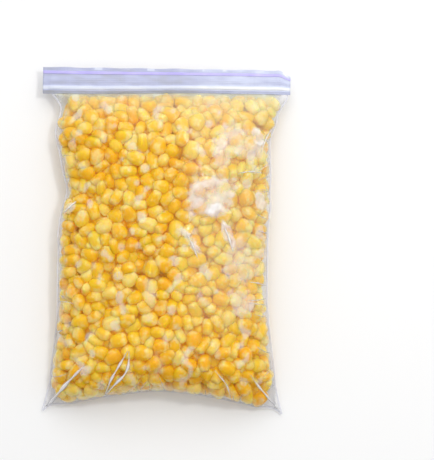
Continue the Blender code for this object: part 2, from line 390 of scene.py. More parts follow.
def keptInside(place, turn, size, kind):        # a last nudge keeps the whole shape of each kernel inside
    halves = np.array([row[:3] for row in kernelSettings["kinds"]])[kind]
    halves = halves * (size * kernelSettings["press"] * kernelSettings["halfShape"])[:, None]
    reachX, reachY, reachZ = np.sqrt(((turn * halves[:, None, :]) ** 2).sum(2)).T
    sideWeld, lowWeld = kernelSettings["clearWeld"]
    x, y, z = place.T
    x = np.sign(x) * np.minimum(np.abs(x), halfWidth(y, x > 0) - reachX - sideWeld)
    y = np.minimum(y, topEdge(x) - reachY - kernelSettings["clearZip"])
    y = np.maximum(y, lowEdge(x) + reachY + lowWeld)
    z = np.maximum(z, reachZ + kernelSettings["aboveSole"])
    return np.stack([x, y, z], -1)


def packKernels():        # place and turn every kernel, pressed together but not into each other
    rng = np.random.default_rng(kernelSettings["seed"])
    place = startingPlaces(rng)
    count = len(place)
    turn = turned(rng.normal(0, 1, (count, 3)) * 2.0)
    size = rng.uniform(*kernelSettings["sizes"], count)
    balls = np.array(kernelSettings["balls"])
    local = np.stack([balls[:, 0], balls[:, 1], 0 * balls[:, 0]], -1)
    each = len(balls)
    radius = (balls[:, 2][None, :] * size[:, None]).ravel()
    owner = np.repeat(np.arange(count), each)
    own = np.arange(0, count * each, each)
    for step in range(kernelSettings["steps"]):
        arm = np.einsum("nij,kj->nki", turn, local) * size[:, None, None]
        centre = (place[:, None, :] + arm).reshape(-1, 3)
        if step % 6 == 0:
            a, b = nearPairs(centre, kernelSettings["near"])
            keep = owner[a] != owner[b]
            a, b = a[keep], b[keep]
        move, hits = np.zeros_like(centre), np.zeros(len(centre))
        deep = pushApart(centre, radius, a, b, move, hits)
        thickness = pushOffFilms(centre, radius, move, hits)
        past = pushOffEdges(centre, radius, move, hits)
        body = np.add.reduceat(move, own, axis=0)
        touch = np.add.reduceat(hits, own)
        place = place + body / np.maximum(touch, 1)[:, None] * kernelSettings["shift"]
        twist = np.add.reduceat(np.cross(arm.reshape(-1, 3), move), own, axis=0)
        lever = (arm ** 2).sum((1, 2))
        spin = twist / np.maximum(lever, 1e-9)[:, None] * kernelSettings["spin"]
        reach = np.linalg.norm(spin, axis=1, keepdims=True)
        spin = spin * np.minimum(1, kernelSettings["mostSpin"] / np.maximum(reach, 1e-9))
        turn = np.einsum("nij,njk->nik", turned(spin), turn)
    print("kernels packed:", count, "deepest overlap mm", round(float(deep.max()) * 1000, 2),
          "mean", round(float(deep[deep > 0].mean()) * 1000, 3))
    kind = rng.integers(0, len(kernelSettings["kinds"]), count)
    tone = rng.random(count)
    thin = thickness < 2 * radius - kernelSettings["thinner"]
    fine = ~((past > kernelSettings["squeezed"]) | thin).reshape(count, each).any(1)
    print("left out at the edges:", int((~fine).sum()))
    place = keptInside(place, turn, size, kind)
    return place[fine], turn[fine], size[fine], kind[fine], tone[fine]


def addObject(name, data):
    made = bpy.data.objects.new(name, data)
    bpy.context.scene.collection.objects.link(made)
    return made


def addNode(nodes, kind, inputs=None, **traits):        # a node with its traits, its values and its links
    node = nodes.new(kind)
    for title, value in traits.items():
        setattr(node, title, value)
    for title, value in (inputs or {}).items():
        if isinstance(value, bpy.types.NodeSocket):
            node.id_data.links.new(value, node.inputs[title])
        else:
            node.inputs[title].default_value = value
    return node


def kernelTree(kindObjects):        # puts a kernel on each point and turns it as the point says
    tree = bpy.data.node_groups.new("kernelPlanting", "GeometryNodeTree")
    tree.interface.new_socket("Geometry", in_out="INPUT", socket_type="NodeSocketGeometry")
    grow = tree.interface.new_socket("Kernel Size", in_out="INPUT", socket_type="NodeSocketFloat")
    finish = tree.interface.new_socket("Skin", in_out="INPUT", socket_type="NodeSocketMaterial")
    tree.interface.new_socket("Geometry", in_out="OUTPUT", socket_type="NodeSocketGeometry")
    nodes = tree.nodes
    start = nodes.new("NodeGroupInput")
    joined = nodes.new("GeometryNodeJoinGeometry")
    for source in reversed(kindObjects):
        info = addNode(nodes, "GeometryNodeObjectInfo", {"Object": source})
        wrap = addNode(nodes, "GeometryNodeGeometryToInstance", {"Geometry": info.outputs["Geometry"]})
        tree.links.new(wrap.outputs["Instances"], joined.inputs["Geometry"])

    def named(title, kind):
        node = addNode(nodes, "GeometryNodeInputNamedAttribute", {"Name": title}, data_type=kind)
        return node.outputs["Attribute"]

    toTurn = addNode(nodes, "FunctionNodeEulerToRotation", {"Euler": named("turn", "FLOAT_VECTOR")})
    scale = addNode(nodes, "ShaderNodeMath", {0: named("grow", "FLOAT"), 1: start.outputs["Kernel Size"]},
                    operation="MULTIPLY")
    plant = addNode(nodes, "GeometryNodeInstanceOnPoints", {
        "Points": start.outputs["Geometry"], "Instance": joined.outputs["Geometry"],
        "Pick Instance": True, "Instance Index": named("kind", "INT"),
        "Rotation": toTurn.outputs["Rotation"], "Scale": scale.outputs["Value"]})
    real = addNode(nodes, "GeometryNodeRealizeInstances", {"Geometry": plant.outputs["Instances"]})
    shade = addNode(nodes, "GeometryNodeSetShadeSmooth", {"Geometry": real.outputs["Geometry"]})
    skinned = addNode(nodes, "GeometryNodeSetMaterial", {
        "Geometry": shade.outputs["Geometry"], "Material": start.outputs["Skin"]})
    addNode(nodes, "NodeGroupOutput", {"Geometry": skinned.outputs["Geometry"]})
    return tree, grow.identifier, finish.identifier


def plantKernels(name, rows, packed, kindObjects, material):
    place, turn, size, kind, tone = [part[rows] for part in packed]
    mesh = bpy.data.meshes.new(name + "Points")
    mesh.from_pydata([tuple(p) for p in place], [], [])
    angles = np.array([Matrix(m.tolist()).to_euler() for m in turn])
    mesh.attributes.new("turn", "FLOAT_VECTOR", "POINT").data.foreach_set("vector", angles.ravel())
    mesh.attributes.new("kind", "INT", "POINT").data.foreach_set("value", kind.astype(np.int32))
    mesh.attributes.new("grow", "FLOAT", "POINT").data.foreach_set("value", size)
    mesh.attributes.new("tone", "FLOAT", "POINT").data.foreach_set("value", tone)
    holder = addObject(name + "Points", mesh)
    tree, growId, skinId = kernelTree(kindObjects)
    modifier = holder.modifiers.new("planting", "NODES")
    modifier.node_group = tree
    modifier[growId] = kernelSettings["press"]
    modifier[skinId] = material
    graph = bpy.context.evaluated_depsgraph_get()
    planted = bpy.data.meshes.new_from_object(holder.evaluated_get(graph), depsgraph=graph)
    holder.modifiers.remove(modifier)
    bpy.data.objects.remove(holder)
    return addObject(name, planted)


def newMaterial(name):
    made = bpy.data.materials.new(name)
    made.use_nodes = True
    made.node_tree.nodes.clear()
    return made, made.node_tree.nodes


def finishWith(nodes, shader):
    addNode(nodes, "ShaderNodeOutputMaterial", {"Surface": shader.outputs[0]})


def noiseGroup(name, stretch):        # soft clouds in metres, with a low and a high limit
    group = bpy.data.node_groups.new(name, "ShaderNodeTree")
    for title, value in (("Scale", 60.0), ("Detail", 3.0), ("Low", 0.4), ("High", 0.7)):
        socket = group.interface.new_socket(title, in_out="INPUT", socket_type="NodeSocketFloat")
        socket.default_value = value
    group.interface.new_socket("Mask", in_out="OUTPUT", socket_type="NodeSocketFloat")
    nodes = group.nodes
    start, coords = nodes.new("NodeGroupInput"), nodes.new("ShaderNodeTexCoord")
    place = addNode(nodes, "ShaderNodeMapping", {"Vector": coords.outputs["Object"], "Scale": stretch})
    noise = addNode(nodes, "ShaderNodeTexNoise", {
        "Vector": place.outputs["Vector"], "Scale": start.outputs["Scale"],
        "Detail": start.outputs["Detail"], "Roughness": 0.55})
    limits = addNode(nodes, "ShaderNodeMapRange", {
        "Value": noise.outputs["Fac"], "From Min": start.outputs["Low"], "From Max": start.outputs["High"]},
        interpolation_type="SMOOTHSTEP")
    addNode(nodes, "NodeGroupOutput", {"Mask": limits.outputs["Result"]})
    return group


clouds = noiseGroup("clouds", (1, 1, 1))
streaks = noiseGroup("streaks", (1.0, 0.18, 0.18))


def placeGroup(nodes, group, scale, low, high):
    values = {"Scale": scale, "Low": low, "High": high}
    return addNode(nodes, "ShaderNodeGroup", values, node_tree=group).outputs["Mask"]


def between(nodes, mask, low, high):        # a mask turned into a value
    values = {"Value": mask, "To Min": low, "To Max": high}
    return addNode(nodes, "ShaderNodeMapRange", values).outputs["Result"]


def bumped(nodes, mask, strength, distance):
    values = {"Height": mask, "Strength": strength, "Distance": distance}
    return addNode(nodes, "ShaderNodeBump", values).outputs["Normal"]


def blended(nodes, mask, first, second):        # colour between two colours or sockets
    first, second = [(*end, 1) if isinstance(end, tuple) else end for end in (first, second)]
    return addNode(nodes, "ShaderNodeMix", {0: mask, 6: first, 7: second}, data_type="RGBA").outputs[2]


def attributeOf(nodes, title):
    return addNode(nodes, "ShaderNodeAttribute", attribute_name=title).outputs["Fac"]


def toneRamp(nodes, source, tones):        # colour along a scale of tones
    ramp = addNode(nodes, "ShaderNodeValToRGB", {"Fac": source})
    marks = ramp.color_ramp.elements
    marks[0].position, marks[0].color = tones[0][0], (*tones[0][1], 1)
    marks[1].position, marks[1].color = tones[-1][0], (*tones[-1][1], 1)
    for position, color in tones[1:-1]:
        marks.new(position).color = (*color, 1)
    return ramp.outputs["Color"]


skinSettings = {
    # colour of a kernel by its tone: place on the scale, colour
    "tones": ((0.0, (0.91, 0.48, 0.001)), (0.30, (0.94, 0.54, 0.002)), (0.68, (0.95, 0.60, 0.006)),
              (0.88, (0.96, 0.66, 0.045)), (1.0, (0.97, 0.74, 0.20))),
    "tip": (0.96, 0.78, 0.28),
    "tipFrom": 0.26,           # share of the length over which a kernel pales to its tip
    "tipMost": 0.5,
    "mottle": (0.97, 0.81, 0.36),
    "mottleMost": 0.72,
    "mottleClouds": (125, 0.48, 0.66),        # scale, low and high limit
    "roughClouds": (700, 0.3, 0.7),
    "dimpleClouds": (330, 0.2, 0.8),
    "roughness": (0.30, 0.48),
    "dimples": (0.25, 0.0005),
    "glow": 0.09,              # painted light: an orange glow in narrow gaps stands in for the light that the neighbours pass on
    "paintedGlowColor": (1.0, 0.42, 0.04, 1),
    "gapReach": 0.0045,
    "gapFrom": 0.62,
    "gapTo": 0.10,
    "flesh": {"Subsurface Weight": 0.85, "Subsurface Radius": (1.0, 0.60, 0.10), "Subsurface Scale": 0.0050,
              "Specular IOR Level": 0.12, "Coat Weight": 0.42, "Coat Roughness": 0.19},
}


def kernelSkin():
    made, nodes = newMaterial("sweetcornSkin")
    color = toneRamp(nodes, attributeOf(nodes, "tone"), skinSettings["tones"])
    spots = placeGroup(nodes, clouds, *skinSettings["mottleClouds"])
    mottled = blended(nodes, between(nodes, spots, 0.0, skinSettings["mottleMost"]), color,
                      skinSettings["mottle"])
    tip = addNode(nodes, "ShaderNodeMapRange", {
        "Value": attributeOf(nodes, "along"), "From Min": skinSettings["tipFrom"], "From Max": 0.0,
        "To Max": skinSettings["tipMost"]}, interpolation_type="SMOOTHSTEP")
    # painted light: where kernels crowd close their skin glows, standing in for light passed between them
    hollow = addNode(nodes, "ShaderNodeAmbientOcclusion", {"Distance": skinSettings["gapReach"]},
                     samples=4, only_local=True)
    paintedGapGlow = addNode(nodes, "ShaderNodeMapRange", {
        "Value": hollow.outputs["AO"], "From Min": skinSettings["gapFrom"],
        "From Max": skinSettings["gapTo"], "To Max": skinSettings["glow"]})
    fine = placeGroup(nodes, clouds, *skinSettings["roughClouds"])
    dimples = placeGroup(nodes, clouds, *skinSettings["dimpleClouds"])
    finishWith(nodes, addNode(nodes, "ShaderNodeBsdfPrincipled", {
        **skinSettings["flesh"],
        "Base Color": blended(nodes, tip.outputs["Result"], mottled, skinSettings["tip"]),
        "Emission Color": skinSettings["paintedGlowColor"],
        "Emission Strength": paintedGapGlow.outputs["Result"],
        "Roughness": between(nodes, fine, *skinSettings["roughness"]),
        "Normal": bumped(nodes, dimples, *skinSettings["dimples"])}))
    return made


def sheerPlastic(name, tint, tones, gloss, reflect, creases):
    # clear where it has no veil, veiled by its veil share in the colour its tone picks: milky, and in
    # places painted glare and painted fill light; gloss is its roughness from and to, reflect how much it
    # mirrors face on and edge on, creases the scale of its fine creases
    made, nodes = newMaterial(name)
    relief = bumped(nodes, placeGroup(nodes, streaks, creases, 0.3, 0.75), 0.5, 0.0004)
    clear = addNode(nodes, "ShaderNodeBsdfTransparent", {"Color": (*tint, 1)})
    shine = addNode(nodes, "ShaderNodeBsdfGlossy", {
        "Roughness": between(nodes, placeGroup(nodes, clouds, 45, 0.3, 0.7), *gloss), "Normal": relief})
    facing = addNode(nodes, "ShaderNodeLayerWeight", {"Blend": 0.5})
    steep = addNode(nodes, "ShaderNodeMath", {0: facing.outputs["Facing"], 1: 4.0}, operation="POWER")
    pane = addNode(nodes, "ShaderNodeMixShader", {
        0: between(nodes, steep.outputs[0], *reflect), 1: clear.outputs[0], 2: shine.outputs[0]})
    veil = addNode(nodes, "ShaderNodeBsdfPrincipled", {
        "Base Color": toneRamp(nodes, attributeOf(nodes, "tone"), tones), "Roughness": 0.4,
        "Specular IOR Level": 0.3, "Normal": relief})
    finishWith(nodes, addNode(nodes, "ShaderNodeMixShader", {
        0: attributeOf(nodes, "veilShare"), 1: pane.outputs[0], 2: veil.outputs[0]}))
    return made


def plainPlastic(name, low, high, roughness):        # solid coloured plastic, slightly uneven
    made, nodes = newMaterial(name)
    mask = placeGroup(nodes, clouds, 70, 0.35, 0.7)
    finishWith(nodes, addNode(nodes, "ShaderNodeBsdfPrincipled", {
        "Base Color": blended(nodes, mask, low, high), "Roughness": between(nodes, mask, *roughness)}))
    return made


def addPiece(name, mesh, material):
    piece = addObject(name, mesh)
    piece.data.materials.append(material)
    return piece


def paint(mesh, title, values):        # a number for each point, which the material reads
    values = np.ravel(values).astype(np.float32)
    mesh.attributes.new(title, "FLOAT", "POINT").data.foreach_set("value", values)


def sheetMesh(name, points, wall, veilShare, tone):        # closed thin sheet from a grid of points
    rows, cols = points.shape[:2]
    inner = points - gridNormals(points) * wall
    both = np.concatenate([points.reshape(-1, 3), inner.reshape(-1, 3)])
    index = np.arange(rows * cols).reshape(rows, cols)
    a, b = index[:-1, :-1].ravel(), index[:-1, 1:].ravel()
    c, d = index[1:, 1:].ravel(), index[1:, :-1].ravel()
    shift = rows * cols
    rim = np.concatenate([index[0, :], index[1:, -1], index[-1, -2::-1], index[-2:0:-1, 0]])
    after = np.roll(rim, -1)
    faces = np.concatenate([np.stack([a, b, c, d], -1), np.stack([a, d, c, b], -1) + shift,
                            np.stack([after, rim, rim + shift, after + shift], -1)])
    mesh = bpy.data.meshes.new(name)
    mesh.from_pydata(both.tolist(), [], faces.tolist())
    paint(mesh, "veilShare", [veilShare, veilShare])
    paint(mesh, "tone", [tone, tone])
    mesh.shade_smooth()
    mesh.update()
    return mesh


def pointOutwards(mesh):
    shaped = bmesh.new()
    shaped.from_mesh(mesh)
    bmesh.ops.recalc_face_normals(shaped, faces=shaped.faces)
    shaped.to_mesh(mesh)
    shaped.free()


def loftMesh(name, loops, veilShare, tone):        # closed solid through loops of points
    loops = np.array(loops)
    count, around = loops.shape[:2]
    points = loops.reshape(-1, 3)
    faces = []
    for r in range(count - 1):
        low, high = r * around, (r + 1) * around
        for k in range(around):
            n = (k + 1) % around
            faces.append((low + k, low + n, high + n, high + k))
    faces.append(tuple(range(around)))
    faces.append(tuple((count - 1) * around + k for k in range(around)))
    mesh = bpy.data.meshes.new(name)
    mesh.from_pydata(points.tolist(), [], faces)
    paint(mesh, "veilShare", np.broadcast_to(veilShare, len(points)))
    paint(mesh, "tone", np.broadcast_to(tone, len(points)))
    pointOutwards(mesh)
    mesh.shade_smooth()
    mesh.set_sharp_from_angle(angle=math.radians(50))
    mesh.update()
    return mesh


filmSettings = {
    "across": 188,
    "along": 236,
    "backAcross": 120,
    "backAlong": 150,
    "backHaze": 0.03,
    "wall": 0.00012,
    "floorGap": 0.0003,
    "lift": 0.010,         # probe starts this far outside
    "sink": 0.0040,        # how far the film may fall between kernels
    "gap": 0.00020,        # film to kernel
    "steps": 460,
    "pull": 0.000010,
    "bandHaze": (0.76, 0.0085),        # share and reach of the milkiness below the zip
    "edgeHaze": (0.08, 0.0025),
    "marginPaintedLight": 0.50,    # white veil beside the contents, towards the bottom corners: painted light that lifts the shade of the floor seen through the film
    "wisps": 0.34,         # small damp spots
    "gapFillVeil": 0.12,         # share of the film under an orange veil over the contents: painted light that lifts the shade in the gaps between kernels
    # painted glare: a faint white veil over the right half of the film, above its bottom
    "rightPaintedGlare": 0.07,
    "glareFrom": 0.0860,   # past this the film's veil turns to the white of painted glare, where the sides stand clear of the contents
    # colours from dull to pale, of clear film and of the front film; 1 is the white of painted glare, and
    # on the front film 0 is the orange of painted fill light over the gaps and 0.5 a fog tinted yellow by
    # painted light from the kernels below
    "tones": ((0.0, (0.62, 0.63, 0.76)), (0.5, (0.86, 0.86, 0.93)), (1.0, (0.97, 0.96, 0.97))),
    "frontVeilTones": ((0.0, (0.86, 0.46, 0.02)), (0.5, (0.88, 0.90, 0.66)), (1.0, (0.97, 0.96, 0.96))),
    "tint": (0.992, 0.993, 1.0),
}

# places where the film stands loose off the kernels and its glare is painted as a white veil: x, y, half
# sizes, turn, how strong the painted glare, how high
loosePlaces = (
    (0.0365, 0.0380, 0.0195, 0.0170, 0.4, 0.44, 0.0013),
    (0.0406, 0.0253, 0.0080, 0.0060, 0.2, 0.55, 0.0016),
    (0.0595, 0.0800, 0.0200, 0.0105, -0.3, 0.30, 0.0013),
    (0.0744, 0.0866, 0.0045, 0.0075, 0.3, 0.55, 0.0014),
    (0.0454, 0.0727, 0.0060, 0.0120, 0.1, 0.32, 0.0010),
    (0.0220, 0.0021, 0.0030, 0.0130, 0.60, 0.45, 0.0012),
    (0.0511, 0.0081, 0.0036, 0.0110, 0.45, 0.55, 0.0013),
    (0.0609, -0.0139, 0.0120, 0.0180, 0.1, 0.26, 0.0012),
    (0.0768, 0.0337, 0.0050, 0.0075, 0.3, 0.50, 0.0012),
    (0.0640, -0.0437, 0.0110, 0.0090, 0.0, 0.30, 0.0010),
    (-0.0097, -0.0400, 0.0045, 0.0110, 0.2, 0.20, 0.0008),
    (-0.0750, 0.0265, 0.0030, 0.0045, -0.7, 0.45, 0.0014),
    (-0.0600, -0.1010, 0.0050, 0.0035, 0.5, 0.35, 0.0010),
)


def ripple(x, y, seed, size):        # gentle waves in every direction, about -1 to 1
    rng = np.random.default_rng(seed)
    total = 0.0
    for _ in range(7):
        way = rng.uniform(0, 2 * math.pi)
        reach = size * rng.uniform(0.6, 1.7)
        total = total + np.sin((x * math.cos(way) + y * math.sin(way)) * 2 * math.pi / reach
                               + rng.uniform(0, 2 * math.pi))
    return total / 2.6


def looseShare(x, y, spot, border=0.30):        # 1 in the middle of a loose place, 0 outside it
    px, py, halfX, halfY, turn = spot[:5]
    size = min(halfX, halfY)
    wx = x + size * (0.22 * ripple(x, y, 3, 0.030) + 0.14 * ripple(x, y, 5, 0.009))
    wy = y + size * (0.22 * ripple(x, y, 4, 0.030) + 0.14 * ripple(x, y, 6, 0.009))
    c, s = math.cos(turn), math.sin(turn)
    u = ((wx - px) * c + (wy - py) * s) / halfX
    v = ((wy - py) * c - (wx - px) * s) / halfY
    return smooth((1 + border / 2 - np.hypot(u, v)) / border)


def kernelProbe(pieces):
    points, faces, base = [], [], 0
    for piece in pieces:
        mesh = piece.data
        co = np.zeros(len(mesh.vertices) * 3)
        mesh.vertices.foreach_get("co", co)
        points.append(co.reshape(-1, 3))
        mesh.calc_loop_triangles()
        tri = np.zeros(len(mesh.loop_triangles) * 3, np.int32)
        mesh.loop_triangles.foreach_get("vertices", tri)
        faces.append(tri.reshape(-1, 3) + base)
        base += len(mesh.vertices)
    return BVHTree.FromPolygons(np.concatenate(points).tolist(), np.concatenate(faces).tolist())


def drapeFilm(points, probe, places):        # film pulled tight over whatever it touches
    normals = gridNormals(points)
    lift, sink = filmSettings["lift"], filmSettings["sink"]
    x, y, z = points[..., 0], points[..., 1], points[..., 2]
    stop = np.full(points.shape[:2], -sink)
    for r in range(points.shape[0]):
        for c in range(points.shape[1]):
            n = Vector(normals[r, c])
            hit = probe.ray_cast(Vector(points[r, c]) + n * lift, -n, lift + sink)
            if hit[0] is not None:
                stop[r, c] = lift - hit[3] + filmSettings["gap"]
    for spot in places:
        share = looseShare(x, y, spot, 0.7)
        loose = spot[6] * share + 0.0002 * ripple(x, y, 8, 0.007)
        stop = np.where(share > 0, np.maximum(stop, loose), stop)
    # nothing goes below the surface that the bag lies on
    down = np.maximum(-normals[..., 2], 0.05)
    room = np.where(normals[..., 2] < -0.05, (z - filmSettings["floorGap"]) / down, 1.0)
    rim = np.zeros_like(stop, bool)
    rim[0], rim[-1], rim[:, 0], rim[:, -1] = True, True, True, True
    shape = np.maximum(stop, 0)
    shape[rim] = 0
    for _ in range(filmSettings["steps"]):
        calm = (shape[:-2, 1:-1] + shape[2:, 1:-1] + shape[1:-1, :-2] + shape[1:-1, 2:]) / 4
        shape[1:-1, 1:-1] = np.maximum(calm - filmSettings["pull"], stop[1:-1, 1:-1])
        shape = np.minimum(shape, room)
        shape[rim] = 0
    return points + normals * shape[..., None]


def faceShare(total):        # haze of each of a sheet's two faces for the haze of both
    return 1 - np.sqrt(1 - np.clip(total, 0, 0.98))


def filmVeil(points):        # how veiled the film is, and whether that veil is orange painted fill light over the gaps (0), fog (0.5) or the white of painted glare (1)
    x, y = points[..., 0], points[..., 1]
    top, reach = filmSettings["bandHaze"]
    below = np.maximum(bagPlace["bandY"] - y, 0)
    fog = np.minimum(top * (0.9 + 0.25 * ripple(x, y, 12, 0.020)) * np.exp(-below / reach), 0.95)
    clear = 1 + 0 * fog
    patchy = np.clip(0.95 + 0.34 * ripple(x, y, 9, 0.012) + 0.12 * ripple(x, y, 10, 0.004), 0.3, 1.5)
    for spot in loosePlaces:
        # painted glare: a white veil over each loose place
        clear = clear * (1 - np.clip(spot[5] * patchy * looseShare(x, y, spot), 0, 0.93))
    # painted glare over the right half
    rightPaintedGlare = filmSettings["rightPaintedGlare"] * smooth((x - 0.005) / 0.03) * smooth((y + 0.085) / 0.05)
    wisps = smooth((ripple(x, y, 31, 0.0150) - 0.55) / 0.50) * smooth(ripple(x, y, 32, 0.040) + 0.55)
    clear = clear * (1 - filmSettings["wisps"] * wisps)
    edge, edgeReach = filmSettings["edgeHaze"]
    gap = np.minimum(halfWidth(y, x > 0) - np.abs(x), y - lowEdge(x))
    # painted light: a white veil where the floor's shade shows through the film beside the contents
    marginLight = filmSettings["marginPaintedLight"] * smooth((np.abs(x) - kernelSettings["fillHalf"]) / 0.003)
    clear = clear * (1 - rightPaintedGlare) * (1 - edge * np.exp(-np.maximum(gap, 0) / edgeReach)) * (1 - marginLight)
    inside = np.minimum(kernelSettings["fillHalf"] - np.abs(x), gap) - 0.001
    # painted light: an orange veil over the contents that lifts the shade in the gaps between kernels
    gapFill = filmSettings["gapFillVeil"] * (1 + 0.3 * ripple(x, y, 14, 0.016)) * smooth(inside / 0.005) * clear
    tone = (0.5 * fog + 1 - clear) / (fog + 1 - clear + gapFill + 0.001)
    # painted glare: the veil's colour turns white towards the sides
    tone = tone + (1 - tone) * smooth((np.abs(x) - filmSettings["glareFrom"]) / 0.005)
    return faceShare(1 - clear * (1 - fog) * (1 - gapFill)), tone


creaseSettings = {
    "width": 0.0013,
    "height": 0.0007,
    "above": 0.00010,
    # how wide each is, how strong the painted glint along its ridge, and its route over the film
    "routes": (
        (2.7, 0.88, ((-0.0962, -0.1368), (-0.0856, -0.1253), (-0.0743, -0.1117), (-0.0663, -0.1035),
                     (-0.0605, -0.0975))),
        (1.9, 0.80, ((-0.0454, -0.1227), (-0.0391, -0.1072), (-0.0338, -0.0984), (-0.0290, -0.0900),
                     (-0.0262, -0.0845))),
        (2.2, 0.85, ((-0.0454, -0.1227), (-0.0376, -0.1132), (-0.0284, -0.1043), (-0.0250, -0.0970),
                     (-0.0252, -0.0850))),
        (1.8, 0.7, ((-0.0800, 0.0225), (-0.0745, 0.0275), (-0.0690, 0.0325))),
        (1.9, 0.7, ((0.0955, -0.1355), (0.0870, -0.1250), (0.0770, -0.1130), (0.0710, -0.1040))),
        (1.3, 0.5, ((0.0560, -0.1240), (0.0520, -0.1110), (0.0420, -0.0990))),
        (1.5, 0.6, ((0.0180, 0.0090), (0.0230, 0.0000), (0.0280, -0.0120))),
        (1.7, 0.7, ((0.0470, 0.0160), (0.0515, 0.0060), (0.0555, -0.0060))),
        (1.1, 0.5, ((0.0580, 0.0560), (0.0680, 0.0580), (0.0780, 0.0570))),
        (1.3, 0.5, ((0.0850, 0.0940), (0.0800, 0.0850), (0.0760, 0.0720))),
    ),
    "seed": 5,
    "count": 30,
    "length": (0.006, 0.017),
    "sizes": (0.6, 1.2),
    "paintedGlints": (0.15, 0.45),
}


def smoothRoute(points, count):        # a bent line through a few points
    points = np.array(points)
    length = np.concatenate([[0], np.cumsum(np.linalg.norm(np.diff(points, axis=0), axis=1))])
    at = np.linspace(0, length[-1], count)
    line = np.stack([np.interp(at, length, points[:, k]) for k in range(2)], -1)
    for _ in range(3):
        line[1:-1] = (line[:-2] + 2 * line[1:-1] + line[2:]) / 4
    return line


def seamCreases():        # short folds that run in from the welds
    rng = np.random.default_rng(creaseSettings["seed"])
    routes = []
    for _ in range(creaseSettings["count"]):
        side = rng.choice(3, p=(0.38, 0.38, 0.24))
        length = rng.uniform(*creaseSettings["length"])
        if side < 2:
            way = -1 if side == 0 else 1
            y = rng.uniform(-0.125, bagPlace["bandY"] - 0.004)
            start = np.array([way * (halfWidth(y, side == 1) - 0.0006), y])
            aim = (0.0 if side == 0 else math.pi) + rng.normal(0, 0.4)
        else:
            x = rng.uniform(-0.085, 0.085)
            start = np.array([x, lowEdge(x) + 0.0008])
            aim = math.pi / 2 + rng.normal(0, 0.45)
        bend = rng.normal(0, 0.25)
        middle = start + length / 2 * np.array([math.cos(aim), math.sin(aim)])
        last = middle + length / 2 * np.array([math.cos(aim + bend), math.sin(aim + bend)])
        routes.append((rng.uniform(*creaseSettings["sizes"]), rng.uniform(*creaseSettings["paintedGlints"]),
                       (start, middle, last)))
    return routes


def creaseMesh(name, film, routes):        # each crease a slim ridge that tapers to both ends, its core painted white for the glint off the fold
    points, faces, veilShare = [], [], []
    for size, paintedGlint, route in routes:
        line = smoothRoute(route, 16)
        along = np.gradient(line, axis=0)
        along /= np.linalg.norm(along, axis=1, keepdims=True)
        base = len(points)
        rows = 0
        for k, ((x, y), (dx, dy)) in enumerate(zip(line, along)):
            hit = film.ray_cast(Vector((x, y, 0.08)), Vector((0, 0, -1)))
            if hit[0] is None:
                continue
            taper = math.sin(math.pi * (k + 0.6) / (len(line) + 0.2)) ** 0.6
            half = creaseSettings["width"] / 2 * size * taper
            half *= 0.8 + 0.35 * math.sin(k * 1.3 + size * 20)
            tall = creaseSettings["height"] * size * taper
            side, normal = Vector((-dy, dx, 0)), hit[1]
            side = (side - normal * side.dot(normal)).normalized()
            place = hit[0] + normal * creaseSettings["above"]
            for across, up in ((-1, 0.05), (-0.45, 0.55), (0, 1), (0.45, 0.55), (1, 0.05), (0, -0.05)):
                points.append(place + side * half * across + normal * tall * up)
                # painted glint: white veil along the ridge's core, fainter at its edges
                veilShare.append(paintedGlint * taper * (1 if abs(across) < 0.9 else 0.3))
            rows += 1
        for r in range(rows - 1):
            for k in range(6):
                n = (k + 1) % 6
                low, high = base + r * 6, base + r * 6 + 6
                faces.append((low + k, low + n, high + n, high + k))
        if rows:
            faces.append(tuple(base + k for k in range(6)))
            faces.append(tuple(base + (rows - 1) * 6 + 5 - k for k in range(6)))
    mesh = bpy.data.meshes.new(name)
    mesh.from_pydata([tuple(p) for p in points], [], faces)
    paint(mesh, "veilShare", veilShare)
    paint(mesh, "tone", [1.0] * len(veilShare))
    pointOutwards(mesh)
    mesh.shade_smooth()
    return mesh


weldSettings = {
    "width": 0.0011,
    "thick": 0.00042,
    "sides": 8,
    "out": 0.0004,         # its middle stands this far outside the film's edge
    "tone": 0.5,
    "tint": (0.95, 0.96, 0.98),
}


def weldBead(name, line, turnOut):        # thin flattened bead along the film's edge
    line = np.array(line)
    along = np.gradient(line, axis=0)
    along /= np.linalg.norm(along, axis=1, keepdims=True)
    out = np.cross(along, (0, 0, 1.0)) * turnOut
    out /= np.linalg.norm(out, axis=1, keepdims=True)
    up = np.cross(along, out)
    loops = []
    for place, sideways, rising in zip(line, out, up):
        loop = []
        for k in range(weldSettings["sides"]):
            angle = 2 * math.pi * k / weldSettings["sides"]
            across = weldSettings["out"] + weldSettings["width"] / 2 * math.cos(angle)
            loop.append(place + sideways * across + rising * weldSettings["thick"] / 2 * math.sin(angle))
        loops.append(loop)
    return loftMesh(name, loops, weldSettings["tone"], weldSettings["tone"])


